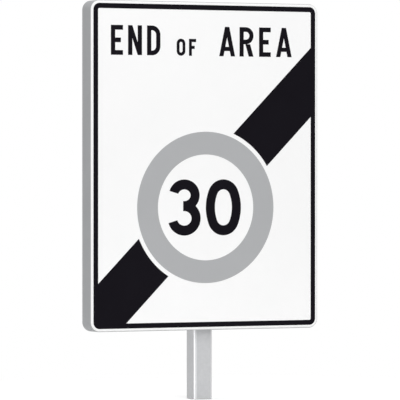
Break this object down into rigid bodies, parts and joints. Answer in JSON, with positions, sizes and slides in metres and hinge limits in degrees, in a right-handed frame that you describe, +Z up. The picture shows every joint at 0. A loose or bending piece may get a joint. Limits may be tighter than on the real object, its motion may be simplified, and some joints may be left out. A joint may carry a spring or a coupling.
{
  "type": "speed zone end sign",
  "caption": "Rectangular road sign: a folded aluminium tray faced with film, showing a ringed speed and a diagonal end bar, held by rails and clamps on a short square post.",
  "frame": {"origin": "on the post's axis, at the post's foot", "axes": "+Z up along the post, the sign faces -Y, +X to the right as the sign is read"},
  "size_m": [0.5, 0.0856, 0.79],
  "materials": {
    "tray_aluminium": "grey coated sheet",
    "white_film": "white retroreflective film",
    "black_film": "black film, satin",
    "grey_film": "grey film, satin",
    "rail_aluminium": "mill finish extrusion",
    "galvanised_post": "galvanised",
    "galvanised_strap": "galvanised",
    "zinc_fasteners": "zinc plated",
    "cap_plastic": "moulded black plastic"
  },
  "bodies": {
    "root": {"panel": "tray_aluminium", "face_sheeting": "white_film", "border_film": "black_film", "bar_film_lower": "black_film", "bar_film_upper": "black_film", "ring_film": "grey_film", "numeral_three_film": "black_film", "numeral_zero_film": "black_film", "rail_upper": "rail_aluminium", "rail_lower": "rail_aluminium", "clamp_upper": "galvanised_strap", "clamp_lower": "galvanised_strap", "clamp_bolts": "zinc_fasteners", "clamp_washers": "zinc_fasteners", "clamp_nuts": "zinc_fasteners", "post": "galvanised_post", "post_cap": "cap_plastic"}
  },
  "joints": []
}
